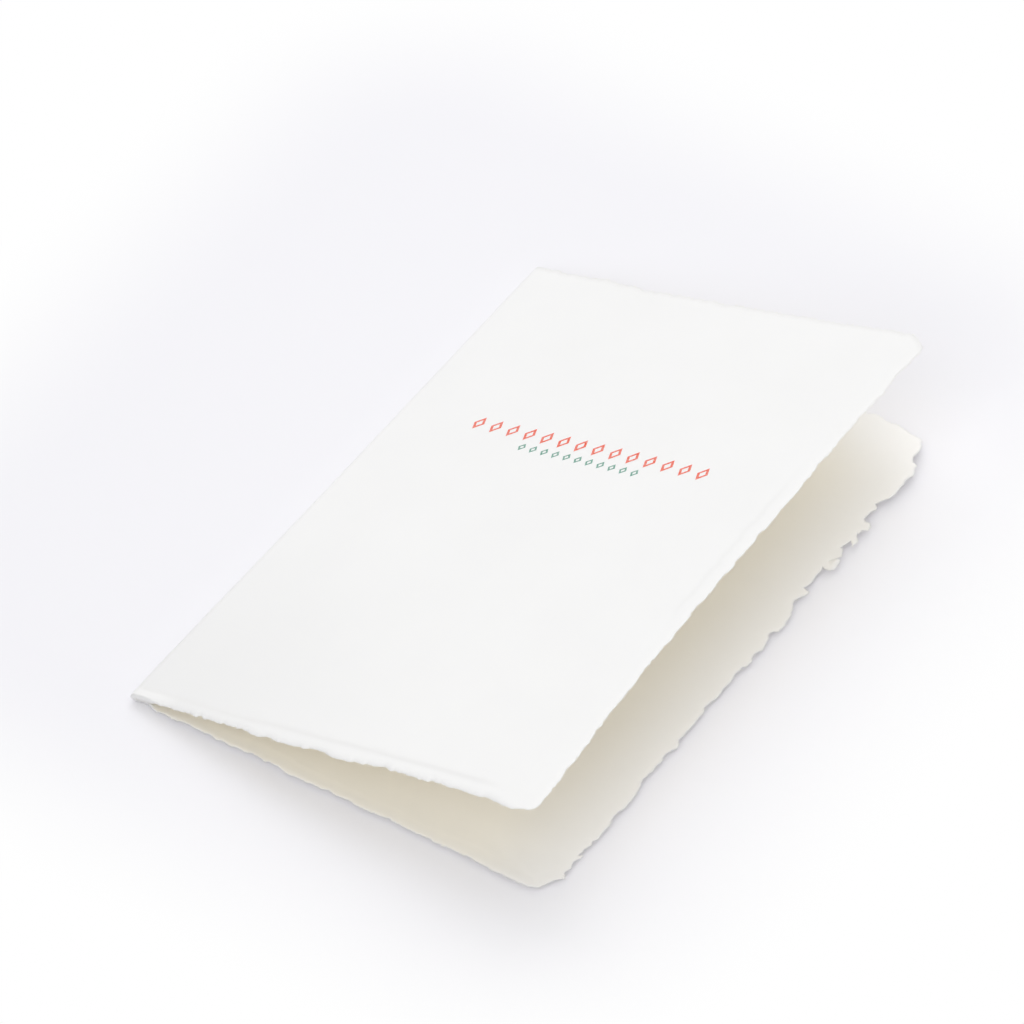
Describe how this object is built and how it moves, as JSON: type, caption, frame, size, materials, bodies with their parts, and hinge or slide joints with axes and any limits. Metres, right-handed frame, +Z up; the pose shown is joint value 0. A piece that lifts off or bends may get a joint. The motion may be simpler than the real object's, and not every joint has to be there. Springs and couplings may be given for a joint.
{
  "type": "greeting card",
  "caption": "Folded greeting card of thick handmade paper with deckled edges, lying on its back panel with the cover sprung slightly open.",
  "frame": {"origin": "bottom centre of the card's bounding box, on the surface that the back panel lies on", "axes": "+X from the fold to the free edges, +Y along the fold from the card's foot to its head, +Z up"},
  "size_m": [0.1168, 0.1726, 0.031],
  "materials": {
    "paper": "uncoated, felt-marked, matt"
  },
  "bodies": {
    "root": {"card": "paper"}
  },
  "joints": []
}
